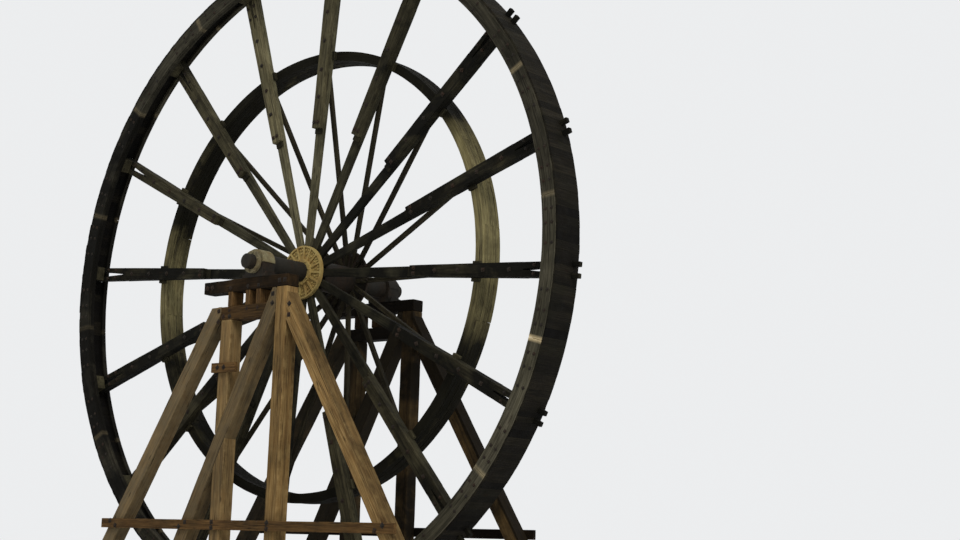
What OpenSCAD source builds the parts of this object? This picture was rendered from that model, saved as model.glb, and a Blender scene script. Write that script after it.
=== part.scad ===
// Open timber water wheel on two raking timber towers, as built to lift slurry at a mine.
// The origin is on the ground under the middle of the axle, +Y runs along the axle to the rear.

/* [Wheel] */
// Height of the axle's centre above the ground
hub_height = 9600; // [9400:20:10400]
// Outer radius of the boarded rim
rim_r = 8840; // [8400:20:8900]
// Depth of the rim along the axle
rim_depth = 870; // [800:10:900]
// Distance from the middle of the axle forward to the rim's front face
rim_front = 1400; // [1300:10:1600]
// Number of arms
arm_count = 16; // [12:2:16]
// Angle of the first arm above the level, where the wheel has come to rest
arm_phase = -4.5; // [-10:0.1:10]

/* [Rim] */
// Radial width of the front felloe ring under the sole boards
felloe_w = 395; // [250:5:500]
// Thickness of the front felloe ring along the axle
felloe_t = 200; // [130:5:240]
// Radial width of the slim rear felloe ring under the sole boards
back_felloe_w = 85; // [60:5:160]
// Thickness of the rear felloe ring along the axle
back_felloe_t = 130; // [90:5:160]
// Open joint between two neighbouring felloe or board lengths
joint_gap = 8; // [4:1:12]
// Thickness of the sole boards round the outside
sole_t = 55; // [40:1:70]
// Clearance of the sole boards round an arm that passes through them
slot_gap = 5; // [3:1:10]
// Gap left where two timbers or castings bear on each other
fit_gap = 0.5; // [0.2:0.1:0.8]

/* [Arms] */
// Width of an arm at the hub
arm_hub_w = 200; // [150:5:220]
// Width of an arm at its outer end
arm_tip_w = 400; // [300:10:440]
// Thickness of an arm along the axle
arm_t = 120; // [90:5:150]
// How far an arm's end stands out beyond the sole
arm_reach = 200; // [100:10:260]
// Radius at which an arm starts to fork towards its outer end
fork_start_r = 7400; // [7000:50:7900]
// Gap between the two prongs of an arm where it passes the rim
fork_gap = 150; // [100:5:180]
// Gap between neighbouring arms where they meet at the hub
arm_gap = 8; // [4:1:20]
// Thickness of the cheek plank that doubles the outer part of an arm
cheek_t = 160; // [100:10:180]
// Radius at which the cheek planks start
cheek_start_r = 3900; // [3000:50:5000]

/* [Drive ring] */
// Outer radius of the drive ring behind the arms
drive_r = 6050; // [5500:10:6800]
// Radial thickness of the drive ring
drive_t = 260; // [150:10:320]
// Width of the drive ring along the axle
drive_w = 650; // [400:10:700]

/* [Hub] */
// How far the hub's plates lap over the inner ends of the arms
flange_lap = 190; // [120:5:240]
// Thickness of the hub's plates
flange_t = 60; // [40:2:80]
// Height of the ribs, the outer bead and the boss above the front plate
rib_h = 45; // [25:5:70]
// Width of a rib and of the outer bead
rib_w = 44; // [30:2:60]
// Radius of the boss in the middle of the front plate
boss_r = 350; // [310:5:400]
// Radius of the barrel between the front and rear plates
barrel_r = 400; // [340:10:440]
// Length of the barrel behind the arms
barrel_l = 1410; // [1100:10:1500]
// Thickness of a rear brace in the plane of the axle
brace_t = 110; // [80:5:140]
// Width of a rear brace across
brace_w = 120; // [80:5:140]
// Clearance between the head of a rear brace and the inside of the drive ring
brace_gap = 80; // [40:10:400]

/* [Axle] */
// Radius of the axle between its journals
axle_r = 260; // [230:5:290]
// Radius of the two journals
journal_r = 200; // [170:5:220]
// Radius of the free shaft ends outside the collars
shaft_end_r = 190; // [150:5:195]
// Length of the free shaft end outside each collar
shaft_end_l = 200; // [150:10:400]
// Radius of the round collar outside each bearing
collar_r = 290; // [270:5:340]
// Thickness of each collar
collar_t = 90; // [60:5:140]
// Clearance along the axle between turning and fixed faces
end_gap = 20; // [10:1:40]
// Radial running clearance of the journals
running_gap = 0.3; // [0.1:0.05:0.3]
// Chamfer at the ends of the shaft
shaft_chamfer = 20; // [5:1:30]

/* [Bearings] */
// Depth from the axle's centre down to the foot of a bearing block
bearing_drop = 380; // [340:5:420]
// Width of the bearing's foot
bearing_foot_w = 860; // [760:10:880]
// Thickness of the bearing's foot
bearing_foot_t = 90; // [60:5:120]
// Width of the bearing block above its foot and of the cap's ears
bearing_w = 660; // [600:10:700]
// Length of a bearing along the axle
bearing_l = 400; // [300:10:400]
// Wall of the bearing cap over the journal
cap_wall = 150; // [90:5:160]
// Thickness of the cap's ears
cap_ear_t = 80; // [60:5:100]

/* [Towers] */
// Side of the square timbers
timber_w = 400; // [380:5:430]
// Clearance between the rim and the bents
bent_gap = 760; // [700:10:860]
// Distance of the middle of a bent to the right of the axle's centre
bent_shift = 55; // [40:5:70]
// Distance from the middle of a bent to the middle of a post
post_x = 1015; // [980:5:1040]
// Height of the cap beam under a bearing
cap_h = 320; // [280:10:360]
// Length of the cap beam to the left of the middle of the bent
cap_left = 1950; // [1750:20:2150]
// Height of the studs between the tie and the cap beam
stud_h = 380; // [320:10:420]
// Width of a stud
stud_w = 160; // [120:5:200]
// Places of the studs along the tie, from the middle of the bent to the right
stud_places = [-910, -250, 150];
// Depth of the tie between the two posts
tie_h = 350; // [300:10:380]
// Angle of the outer legs from the upright
outer_rake = 33; // [30:0.5:34]
// Angle of the inner leg from the upright
inner_rake = 27; // [25:0.5:29]
// Height of the upright cut at the head of the left outer leg
left_bite = 140; // [100:5:200]
// Depth from the cap beam down to the heel of the right outer leg
right_drop = 870; // [740:10:950]
// Height of the upright cut at the head of the inner leg
inner_bite = 590; // [540:10:640]
// Length of a sill beyond the foot of a leg
sill_end = 350; // [200:10:500]
// Height of a girt board
girt_h = 250; // [200:10:300]
// Thickness of a girt board
girt_t = 100; // [80:5:120]
// Height of the girts' undersides above the ground
girt_z = 2800; // [2500:50:2900]
// Length of a girt beyond the legs that it crosses
girt_end = 160; // [100:10:250]
// Place of the right end of the short cleat across the left post, from the middle of the bent
cleat_x = -475; // [-520:5:-420]
// Length of that cleat
cleat_l = 900; // [850:10:1000]
// Depth from the axle's centre down to the underside of a cleat
cleat_drop = 2800; // [2700:20:2900]

/* [Hidden] */
$fn = 180;
rim_facets = 720;

function arm_name(i) = str("arm_", i < 10 ? "0" : "", i);
function sides(part) = [str("front_", part), str("rear_", part)];
TOWER_PARTS = ["posts", "legs", "beams", "studs", "girts", "sills",
               "bearing_block", "bearing_cap"];
WHEEL_PARTS = ["arm_cheeks", "rim_sole", "rim_blocks", "drive_ring", "rear_braces",
               "hub_barrel", "axle"];

// Angles of the wheel
bay = 360 / arm_count;
function arm_angle(i) = arm_phase + (i - 1) * bay;

// Radii of the rim, from the outside in
felloe_out_r = rim_r - sole_t;
rim_in_r = felloe_out_r - felloe_w;
arm_end_r = rim_r + arm_reach;

// Places along the axle, counted forward from the middle of the axle
rim_back = rim_front - rim_depth;
arm_back = rim_back + back_felloe_t;
arm_front = arm_back + arm_t;
cheek_front = arm_front + cheek_t;
felloe_back = rim_front - felloe_t;
barrel_back = arm_back - barrel_l;

// Hub, sized so that the arms' inner ends fit round its core
arm_start_r = (arm_hub_w / 2 + arm_gap / 2) / tan(bay / 2);
core_r = arm_start_r - arm_gap;
flange_r = arm_start_r + flange_lap;

// Braces, whose upright end faces are long enough to leave them brace_t thick at their slant
brace_foot_r = barrel_r + arm_gap;
brace_head_r = drive_r - drive_t - brace_gap;
brace_run = brace_head_r - brace_foot_r;
brace_slant = brace_t / barrel_l;
brace_face = brace_slant * (norm([brace_run, sqrt(pow(barrel_l, 2) - pow(brace_t, 2))])
             - brace_slant * brace_run) / (1 - pow(brace_slant, 2));
rear_flange_r = brace_foot_r + brace_face + rib_w;

// Bents, axle ends and bearings
bent_y = rim_front + bent_gap + timber_w / 2;
journal_start = bent_y - bearing_l / 2 - end_gap;
collar_start = bent_y + timber_w / 2 + end_gap;
collar_end = collar_start + collar_t;
bore_r = journal_r + running_gap;
cap_top = hub_height - bearing_drop;
post_top = cap_top - cap_h;
tie_top = post_top - stud_h;
tie_z = tie_top - tie_h;
left_head = tie_top - left_bite;
right_head = post_top - right_drop;
inner_head = post_top - inner_bite;
post_side = post_x + timber_w / 2;
inner_side = post_x - timber_w / 2;
outer_across = timber_w / cos(outer_rake);
inner_across = timber_w / cos(inner_rake);

// Half width of an arm at a distance from the axle
function arm_half_w(r) =
    (arm_hub_w + (arm_tip_w - arm_hub_w) * (r - arm_start_r) / (arm_end_r - arm_start_r)) / 2;

// Radius of the straight cut under the sole where the corners of a timber meet the boards
under_sole_r = sqrt(pow(felloe_out_r, 2) - pow(arm_half_w(felloe_out_r), 2));

// Distance of an outer leg's inner edge from the middle of the bent at a height
function outer_inside(head, z) = post_side + (head - z) * tan(outer_rake);

// Place of the inner leg's left edge at a height
function inner_outside(z) = inner_side - (inner_head - z) * tan(inner_rake) - inner_across;

// Turns a shape drawn flat, with its depth upward, so that it stands round the axle
module on_axle() {
    translate([0, 0, hub_height])
        rotate([90, 0, 0])
            children();
}

// Repeats a shape at each arm of the wheel
module at_arms() {
    for (i = [1:arm_count])
        rotate([0, 0, arm_angle(i)])
            children();
}

// Stands a drawing of the front bent upright, with its middle at a distance in front of the origin
module bent_board(forward, thickness) {
    translate([bent_shift, thickness / 2 - forward, 0])
        rotate([90, 0, 0])
            linear_extrude(thickness)
                children();
}

// Draws a shape at the front tower or mirrored at the rear tower
module tower_side(front) {
    if (front)
        children();
    else
        mirror([0, 1, 0])
            children();
}

// Length of a ring centred on an arm, with half a joint left open at each end
module ring_length(r_in, r_out, low, high) {
    joint_angle = 2 * asin(joint_gap / 2 / r_in);
    translate([0, 0, low])
        rotate([0, 0, (joint_angle - bay) / 2])
            rotate_extrude(angle = bay - joint_angle, $fn = rim_facets)
                translate([r_in, 0])
                    square([r_out - r_in, high - low]);
}

// Outline of an arm between two radii, grown by a clearance
module arm_outline(r_from, r_to, grow) {
    half_from = arm_half_w(r_from) + grow;
    half_to = arm_half_w(r_to) + grow;
    polygon([[r_from, -half_from], [r_to, -half_to], [r_to, half_to], [r_from, half_from]]);
}

// Outline of an arm with the wedge-shaped gap between its two prongs
module forked_outline(r_from, r_to, grow) {
    half_gap = fork_gap / 2 - grow;
    difference() {
        arm_outline(r_from, r_to, grow);
        polygon([
            [fork_start_r, 0],
            [rim_in_r, -half_gap],
            [r_to + arm_reach, -half_gap],
            [r_to + arm_reach, half_gap],
            [rim_in_r, half_gap]
        ]);
    }
}

module arm(i) {
    color("saddlebrown")
        on_axle()
            rotate([0, 0, arm_angle(i)])
                translate([0, 0, arm_back])
                    linear_extrude(arm_t)
                        forked_outline(arm_start_r, arm_end_r, 0);
}

module arm_cheeks() {
    color("peru")
        on_axle()
            at_arms()
                translate([0, 0, arm_front])
                    linear_extrude(cheek_t)
                        forked_outline(cheek_start_r, under_sole_r, 0);
}

// Packing between each cheek and the back of the front felloes
module rim_blocks() {
    color("peru")
        on_axle()
            at_arms()
                translate([0, 0, cheek_front])
                    linear_extrude(felloe_back - cheek_front)
                        arm_outline(rim_in_r, under_sole_r, 0);
}

// Notches in the sole boards that the two prongs of an arm pass through
module arm_slot() {
    translate([0, 0, arm_back - slot_gap])
        linear_extrude(arm_t + 2 * slot_gap)
            forked_outline(rim_in_r, arm_end_r, slot_gap);
}

module felloes(width, low, high) {
    color("rosybrown")
        on_axle()
            at_arms()
                ring_length(felloe_out_r - width, felloe_out_r - fit_gap, low, high);
}

module rim_sole() {
    color("dimgray")
        on_axle()
            at_arms()
                difference() {
                    ring_length(felloe_out_r, rim_r, rim_back, rim_front);
                    arm_slot();
                }
}

module drive_ring() {
    color("burlywood")
        on_axle()
            at_arms()
                ring_length(drive_r - drive_t, drive_r, arm_back - drive_w, arm_back - fit_gap);
}

// Braces from the rear plate of the hub out to the backs of the arms
module rear_braces() {
    color("sienna")
        on_axle()
            at_arms()
                translate([0, brace_w / 2, 0])
                    rotate([90, 0, 0])
                        linear_extrude(brace_w)
                            polygon([
                                [brace_foot_r, barrel_back + fit_gap],
                                [brace_foot_r + brace_face, barrel_back + fit_gap],
                                [brace_head_r, arm_back - fit_gap],
                                [brace_head_r - brace_face, arm_back - fit_gap]
                            ]);
}

module hub_barrel() {
    color("gray")
        on_axle()
            difference() {
                union() {
                    translate([0, 0, barrel_back])
                        cylinder(h = barrel_l, r = barrel_r);
                    translate([0, 0, arm_back - flange_t])
                        cylinder(h = flange_t, r = flange_r);
                    translate([0, 0, arm_back])
                        cylinder(h = arm_t, r = core_r);
                }
                translate([0, 0, barrel_back - end_gap])
                    cylinder(h = barrel_l + arm_t + 2 * end_gap, r = axle_r);
            }
}

// Front plate with a boss, a rib over each arm and a bead round its edge
module front_flange() {
    color("wheat")
        on_axle()
            translate([0, 0, arm_front + fit_gap])
                difference() {
                    union() {
                        cylinder(h = flange_t, r = flange_r);
                        cylinder(h = flange_t + 2 * rib_h, r = boss_r);
                        difference() {
                            cylinder(h = flange_t + rib_h, r = flange_r);
                            cylinder(h = flange_t + 2 * rib_h, r = flange_r - rib_w);
                        }
                        at_arms()
                            translate([boss_r - rib_w, -rib_w / 2, 0])
                                cube([flange_r - boss_r + rib_w / 2, rib_w, flange_t + rib_h]);
                    }
                    translate([0, 0, -flange_t])
                        cylinder(h = 3 * flange_t + 2 * rib_h, r = axle_r);
                }
}

module rear_flange() {
    color("gray")
        on_axle()
            translate([0, 0, barrel_back - flange_t])
                difference() {
                    union() {
                        cylinder(h = flange_t, r = rear_flange_r);
                        translate([0, 0, -rib_h])
                            cylinder(h = rib_h, r = boss_r);
                    }
                    translate([0, 0, -2 * rib_h])
                        cylinder(h = 2 * flange_t + 2 * rib_h, r = axle_r);
                }
}

// Half of the axle, from its middle to one free end
module half_axle() {
    cylinder(h = journal_start, r = axle_r);
    cylinder(h = collar_end, r = journal_r);
    cylinder(h = collar_end + shaft_end_l - shaft_chamfer, r = shaft_end_r);
    translate([0, 0, collar_end + shaft_end_l - shaft_chamfer])
        cylinder(h = shaft_chamfer, r1 = shaft_end_r, r2 = shaft_end_r - shaft_chamfer);
}

module axle() {
    color("darkslategray")
        on_axle() {
            half_axle();
            mirror([0, 0, 1])
                half_axle();
        }
}

module collar(front) {
    color("wheat")
        tower_side(front)
            on_axle()
                translate([0, 0, collar_start])
                    difference() {
                        cylinder(h = collar_t, r = collar_r);
                        translate([0, 0, -collar_t])
                            cylinder(h = 3 * collar_t, r = journal_r);
                    }
}

// Round hole for the journal, cut through a bearing half
module journal_bore() {
    translate([0, 0, -bearing_l])
        cylinder(h = 2 * bearing_l, r = bore_r);
}

module bearing_block(front) {
    color("slategray")
        tower_side(front)
            translate([0, -bent_y, 0])
                on_axle()
                    difference() {
                        translate([0, 0, -bearing_l / 2])
                            linear_extrude(bearing_l)
                                polygon([
                                    [-bearing_foot_w / 2, -bearing_drop],
                                    [bearing_foot_w / 2, -bearing_drop],
                                    [bearing_foot_w / 2, bearing_foot_t - bearing_drop],
                                    [bearing_w / 2, bearing_foot_t - bearing_drop],
                                    [bearing_w / 2, 0],
                                    [-bearing_w / 2, 0],
                                    [-bearing_w / 2, bearing_foot_t - bearing_drop],
                                    [-bearing_foot_w / 2, bearing_foot_t - bearing_drop]
                                ]);
                        journal_bore();
                    }
}

module bearing_cap(front) {
    color("slategray")
        tower_side(front)
            translate([0, -bent_y, 0])
                on_axle()
                    difference() {
                        intersection() {
                            union() {
                                translate([0, 0, -bearing_l / 2])
                                    cylinder(h = bearing_l, r = bore_r + cap_wall);
                                translate([-bearing_w / 2, 0, -bearing_l / 2])
                                    cube([bearing_w, cap_ear_t, bearing_l]);
                            }
                            translate([-bearing_w, 0, -bearing_l])
                                cube([2 * bearing_w, 2 * bearing_w, 2 * bearing_l]);
                        }
                        journal_bore();
                    }
}

// Draws a flat shape of the front or rear bent through the full depth of its timbers
module in_bent(front) {
    tower_side(front)
        bent_board(bent_y, timber_w)
            children();
}

// Outer leg on the right, whose head is cut upright at the post and level where it passes a height
module outer_leg(head, top) {
    foot_x = outer_inside(head, timber_w);
    intersection() {
        polygon([
            [post_side, head + outer_across / tan(outer_rake)],
            [post_side, head],
            [foot_x, timber_w],
            [foot_x + outer_across, timber_w]
        ]);
        square([foot_x + outer_across, top]);
    }
}

// Inner leg, which rakes from the right post across to the left
module inner_leg() {
    foot_x = inner_outside(timber_w);
    polygon([
        [inner_side, post_top],
        [inner_side, inner_head],
        [foot_x + inner_across, timber_w],
        [foot_x, timber_w],
        [inner_outside(post_top), post_top]
    ]);
}

// The left post stops at the inner leg and goes on below it
module posts(front) {
    color("tan")
        in_bent(front) {
            translate([inner_side, timber_w])
                square([timber_w, post_top - timber_w]);
            difference() {
                translate([-post_side, timber_w])
                    square([timber_w, tie_z - timber_w]);
                inner_leg();
            }
        }
}

module legs(front) {
    color("tan")
        in_bent(front) {
            inner_leg();
            outer_leg(right_head, post_top);
            mirror([1, 0, 0])
                outer_leg(left_head, tie_top);
        }
}

module sills(front) {
    left = outer_inside(left_head, timber_w) + outer_across + sill_end;
    right = outer_inside(right_head, timber_w) + outer_across + sill_end;
    color("tan")
        in_bent(front)
            translate([-left, 0])
                square([left + right, timber_w]);
}

// Tie from the left post to the inner leg, and the cap beam that carries the bearing
module beams(front) {
    color("chocolate")
        in_bent(front) {
            polygon([
                [-post_side, tie_z],
                [inner_outside(tie_z), tie_z],
                [inner_outside(tie_top), tie_top],
                [-post_side, tie_top]
            ]);
            translate([-cap_left, post_top])
                square([cap_left + post_side, cap_h]);
        }
}

// Studs that stand on the tie under the cap beam
module studs(front) {
    color("peru")
        in_bent(front)
            for (x = stud_places)
                translate([x - stud_w / 2, tie_top])
                    square([stud_w, stud_h]);
}

// Girt board across the legs, and the cleat across the left post, on the outer face of the bent
module girts(front) {
    left = outer_inside(left_head, girt_z) + outer_across + girt_end;
    right = outer_inside(right_head, girt_z) + outer_across + girt_end;
    color("chocolate")
        tower_side(front)
            bent_board(bent_y + (timber_w + girt_t) / 2, girt_t) {
                translate([-left, girt_z])
                    square([left + right, girt_h]);
                translate([cleat_x - cleat_l, hub_height - cleat_drop])
                    square([cleat_l, girt_h]);
            }
}

for (i = [1:arm_count])
    arm(i);
arm_cheeks();
rim_sole();
rim_blocks();
drive_ring();
rear_braces();
hub_barrel();
axle();
felloes(felloe_w, felloe_back, rim_front);  // front_felloes
felloes(back_felloe_w, rim_back, arm_back);  // rear_felloes
front_flange();
rear_flange();
collar(true);  // front_collar
collar(false);  // rear_collar
posts(true);  // front_posts
posts(false);  // rear_posts
legs(true);  // front_legs
legs(false);  // rear_legs
beams(true);  // front_beams
beams(false);  // rear_beams
studs(true);  // front_studs
studs(false);  // rear_studs
girts(true);  // front_girts
girts(false);  // rear_girts
sills(true);  // front_sills
sills(false);  // rear_sills
bearing_block(true);  // front_bearing_block
bearing_block(false);  // rear_bearing_block
bearing_cap(true);  // front_bearing_cap
bearing_cap(false);  // rear_bearing_cap
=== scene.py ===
import math

import bmesh
import bpy
import numpy as np
from mathutils import Matrix, Vector


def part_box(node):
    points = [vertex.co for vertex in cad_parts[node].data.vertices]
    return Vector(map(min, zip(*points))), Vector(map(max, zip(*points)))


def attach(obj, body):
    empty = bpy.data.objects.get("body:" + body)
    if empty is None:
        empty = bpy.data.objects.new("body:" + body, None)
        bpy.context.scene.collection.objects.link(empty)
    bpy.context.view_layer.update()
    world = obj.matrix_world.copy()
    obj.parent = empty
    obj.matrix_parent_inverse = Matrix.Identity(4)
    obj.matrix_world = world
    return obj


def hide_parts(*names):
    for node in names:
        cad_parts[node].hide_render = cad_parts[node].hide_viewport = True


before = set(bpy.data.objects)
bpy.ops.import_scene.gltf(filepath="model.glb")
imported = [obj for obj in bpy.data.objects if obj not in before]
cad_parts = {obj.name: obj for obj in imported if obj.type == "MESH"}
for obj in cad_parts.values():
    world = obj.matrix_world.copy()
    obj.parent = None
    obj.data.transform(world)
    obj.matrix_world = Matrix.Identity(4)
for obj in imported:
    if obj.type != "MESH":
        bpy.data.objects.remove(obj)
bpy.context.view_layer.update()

# Camera, at the photo's viewing angle
CAMERA_PLACE = Vector((30.521, -30.081, 2.452))
CAMERA_RIGHT = Vector((0.7708, 0.6364, 0.0309))
CAMERA_UP = Vector((0.0865, -0.1526, 0.9845))
LENS_MM = 60.35
SENSOR_MM = 36.0
FARTHEST = 500.0

# Directions that bolts stand in; forward is along the axle, toward the near tower
FORWARD = (0, -1, 0)
BACKWARD = (0, 1, 0)
UPWARD = (0, 0, 1)

# The wheel, measured on the CAD nodes (metres; a depth d counts forward along the axle)
ARM_COUNT = 16
ARM_PHASE = math.radians(-4.5)
BAY = 2 * math.pi / ARM_COUNT
HUB_Z = (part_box("axle")[0].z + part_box("axle")[1].z) / 2
RIM_FRONT = -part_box("rim_sole")[0].y
RIM_BACK = -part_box("rim_sole")[1].y
RIM_R = 8.84
FELLOE_OUT = 8.785
RIM_IN = 8.39
FELLOE_T = 0.2
FELLOE_BACK = RIM_FRONT - FELLOE_T
REAR_FELLOE_W = 0.085
REAR_FELLOE_T = 0.13
REAR_FELLOE_IN = FELLOE_OUT - REAR_FELLOE_W
JOINT_HALF = 0.004
NOTCH_GAP = 0.005

# Arms and cheeks
ARM_HUB_W = 0.2
ARM_TIP_W = 0.4
ARM_T = 0.12
ARM_BACK = RIM_BACK + REAR_FELLOE_T
ARM_FRONT = ARM_BACK + ARM_T
# Half an arm's width and half its gap where neighbouring arms meet at the hub
ARM_MEET = 0.104
ARM_START = ARM_MEET / math.tan(BAY / 2)
ARM_END = 9.04
CHEEK_T = 0.16
CHEEK_FRONT = ARM_FRONT + CHEEK_T
CHEEK_START = 3.9
FORK_START = 7.4
FORK_HALF = 0.075

# Drive ring, hub, collars and rear braces
RING_R = 6.05
RING_IN = 5.79
RING_BACK = -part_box("drive_ring")[1].y
PLATE_T = 0.06
FRONT_BOSS = 0.15
REAR_BOSS = 0.105
BARREL_L = 1.41
BARREL_BACK = ARM_BACK - BARREL_L
COLLAR_OUT = max(abs(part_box("front_collar")[0].y), abs(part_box("front_collar")[1].y))
BRACE_FOOT = 0.408
BRACE_HEAD = 5.71
BRACE_T = 0.11
BRACE_W = 0.12

# The towers, each a bent whose middle lies a little to the right of the axle
TIMBER = 0.4
BENT_Y = -(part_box("front_bearing_block")[0].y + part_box("front_bearing_block")[1].y) / 2
BENT_SHIFT = 0.055
POST_SIDE = 1.215
POST_MIDDLE = POST_SIDE - TIMBER / 2
INNER_SIDE = POST_SIDE - TIMBER
CAP_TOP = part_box("front_beams")[1].z
POST_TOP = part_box("front_studs")[1].z
TIE_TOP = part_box("front_studs")[0].z
TIE_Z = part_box("front_beams")[0].z
CAP_LEFT = 1.95
STUD_PLACES = (-0.91, -0.25, 0.15)
STUD_HALF = 0.08
OUTER_RAKE = math.radians(33)
INNER_RAKE = math.radians(27)
OUTER_ACROSS = TIMBER / math.cos(OUTER_RAKE)
INNER_ACROSS = TIMBER / math.cos(INNER_RAKE)
LEFT_HEAD = TIE_TOP - 0.14
RIGHT_HEAD = POST_TOP - 0.87
INNER_HEAD = POST_TOP - 0.59
SILL_END = 0.35
GIRT_Z = 2.8
GIRT_T = 0.1
GIRT_H = 0.25
GIRT_MIDDLE = GIRT_Z + GIRT_H / 2
GIRT_END = 0.16
CLEAT_X = -0.475
CLEAT_L = 0.9
CLEAT_Z = HUB_Z - 2.8
BEARING_FOOT_T = 0.09
BEARING_EAR_T = 0.08

# Wear of the timbers: a strip along each edge, long waves on the faces, chips on the edges
EDGE_STRIP = 0.02
NARROWEST = 0.08
WAVES = 1.7
WAVE_STEP = 0.31
CHIPS_ALONG = 6.1
CHIPS_ACROSS = 3
CHIP_LEVEL = 0.45
CHIP_DEPTH = 1.6
END_DRAW = 0.7
SMOOTH_BELOW = math.radians(32)
# The pieces of an object are cut from places in the grain up to this far from its middle
GRAIN_SPREAD = 40
# Step from row to row of the noise's corners
ROW = 57


# Smooth repeatable noise for shapes

def hashed(n, seed):
    value = np.sin(n * 127.1 + seed * 311.7) * 43758.5453
    return value - np.floor(value)


def noise(x, y, seed):
    ix, iy = np.floor(x), np.floor(y)
    fx, fy = x - ix, y - iy
    fx, fy = fx * fx * (3 - 2 * fx), fy * fy * (3 - 2 * fy)
    corner = ix + ROW * iy
    low = hashed(corner, seed) * (1 - fx) + hashed(corner + 1, seed) * fx
    high = hashed(corner + ROW, seed) * (1 - fx) + hashed(corner + ROW + 1, seed) * fx
    return low * (1 - fy) + high * fy


class Bag:
    """Gathers the pieces of one object, with what its material reads at each vertex."""

    def __init__(self, name, seed):
        self.name = name
        self.rng = np.random.default_rng(seed)
        self.points, self.faces = [], []
        self.values = {"grain": [], "tone": [], "stain": [], "fresh": [], "edge": []}
        self.count = 0

    def draw(self, low, high):
        """A random number from this object's own sequence."""
        return float(self.rng.uniform(low, high))

    def add(self, points, faces, grain, tone, stain=0.0, fresh=0.0, edge=0.0):
        n = len(points)
        self.points.append(points)
        self.faces += [[k + self.count for k in face] for face in faces]
        self.values["grain"].append(grain + self.rng.uniform(-GRAIN_SPREAD, GRAIN_SPREAD, 3))
        for key, value in (("tone", tone), ("stain", stain), ("fresh", fresh), ("edge", edge)):
            self.values[key].append(np.broadcast_to(np.asarray(value, float), (n,)))
        self.count += n

    def build(self, body, material, nodes=()):
        mesh = bpy.data.meshes.new(self.name)
        mesh.from_pydata(np.concatenate(self.points).tolist(), [], self.faces)
        for key, parts in self.values.items():
            kind, field = ("FLOAT_VECTOR", "vector") if key == "grain" else ("FLOAT", "value")
            layer = mesh.attributes.new(key, kind, "POINT")
            layer.data.foreach_set(field, np.concatenate(parts).astype(np.float32).ravel())
        work = bmesh.new()
        work.from_mesh(mesh)
        bmesh.ops.recalc_face_normals(work, faces=work.faces)
        work.to_mesh(mesh)
        work.free()
        mesh.polygons.foreach_set("use_smooth", [True] * len(mesh.polygons))
        mesh.set_sharp_from_angle(angle=SMOOTH_BELOW)
        obj = bpy.data.objects.new(self.name, mesh)
        bpy.context.scene.collection.objects.link(obj)
        mesh.materials.append(material)
        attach(obj, body)
        if nodes:
            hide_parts(*nodes)


# Places: each turns length u, width v and depth w along a timber into a point of the frame

def polar(r, angle, d):
    """Length from the axle's line, width as an angle round it, depth forward along it."""
    return np.stack([r * np.cos(angle), -d + 0 * r, HUB_Z + r * np.sin(angle)], -1)


def on_arm(angle):
    """Length out along an arm, width across it, depth forward along the axle."""
    along = np.array([math.cos(angle), 0, math.sin(angle)])
    across = np.array([-math.sin(angle), 0, math.cos(angle)])
    return straight((0, 0, HUB_Z), along, across, FORWARD)


def along_rim(angle, r):
    """Length round the rim from an angle, width outward from the axle, depth forward."""
    return lambda u, v, w: polar(v, angle + u / r, w)


def across_rim(angle, r):
    """Length forward along the axle, width round the rim, depth outward."""
    return lambda u, v, w: polar(w, angle + v / r, u)


def straight(origin, along, across, depth):
    o, a, b, c = (np.array(k, float) for k in (origin, along, across, depth))
    return lambda u, v, w: o + u[:, None] * a + v[:, None] * b + w[:, None] * c


def point(place, u, v, w):
    """One point of a place."""
    return place(np.array([u]), np.array([v]), np.array([w]))[0]


# Shapes that repeat

def value_at(value, *where):
    """A value that is a number, or follows where it is read."""
    return value(*where) if callable(value) else value


def section(strip, across):
    """Points round a timber's section: along the bottom, up a side, back along the top and down."""
    share = [0.0, strip] + list(np.linspace(strip, 1 - strip, across + 1)[1:-1]) + [1 - strip, 1.0]
    n = len(share)
    flat = [0] * (n - 2)
    ring = {
        "width": share + [1.0] * 3 + share[::-1] + [0.0] * 3,
        "depth": [0.0] * n + [0.0, 0.5, 1.0] + [1.0] * n + [1.0, 0.5, 0.0],
        "inset_width": [1] + flat + [-1] + [0] * 3 + [-1] + flat + [1] + [0] * 3,
        "inset_depth": [0] * n + [1, 0, -1] + [0] * n + [-1, 0, 1],
        "inward_width": [0] * n + [-1] * 3 + [0] * n + [1] * 3,
        "inward_depth": [1] * n + [0] * 3 + [-1] * n + [0] * 3,
        "edge": [1] + flat + [1] + [1, 0, 1] + [1] + flat + [1] + [1, 0, 1],
    }
    return n, {key: np.array(value, float) for key, value in ring.items()}


def tube_faces(rows, cols):
    """Faces between rows of points, each row a closed ring."""
    faces = []
    for i in range(rows - 1):
        low, high = i * cols, (i + 1) * cols
        for j in range(cols):
            k = (j + 1) % cols
            faces.append([low + j, low + k, high + k, high + j])
    return faces


def end_faces(base, n):
    """Faces over one end of a timber, whose bottom and top have n points each."""
    top = n + 3
    faces = [[base + k for k in (j, j + 1, top + n - 2 - j, top + n - 1 - j)] for j in range(n - 1)]
    faces.append([base + k for k in (0, top + n - 1, top + n, top + n + 1, top + n + 2)])
    faces.append([base + k for k in (n - 1, n, n + 1, n + 2, n + 3)])
    return faces


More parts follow.
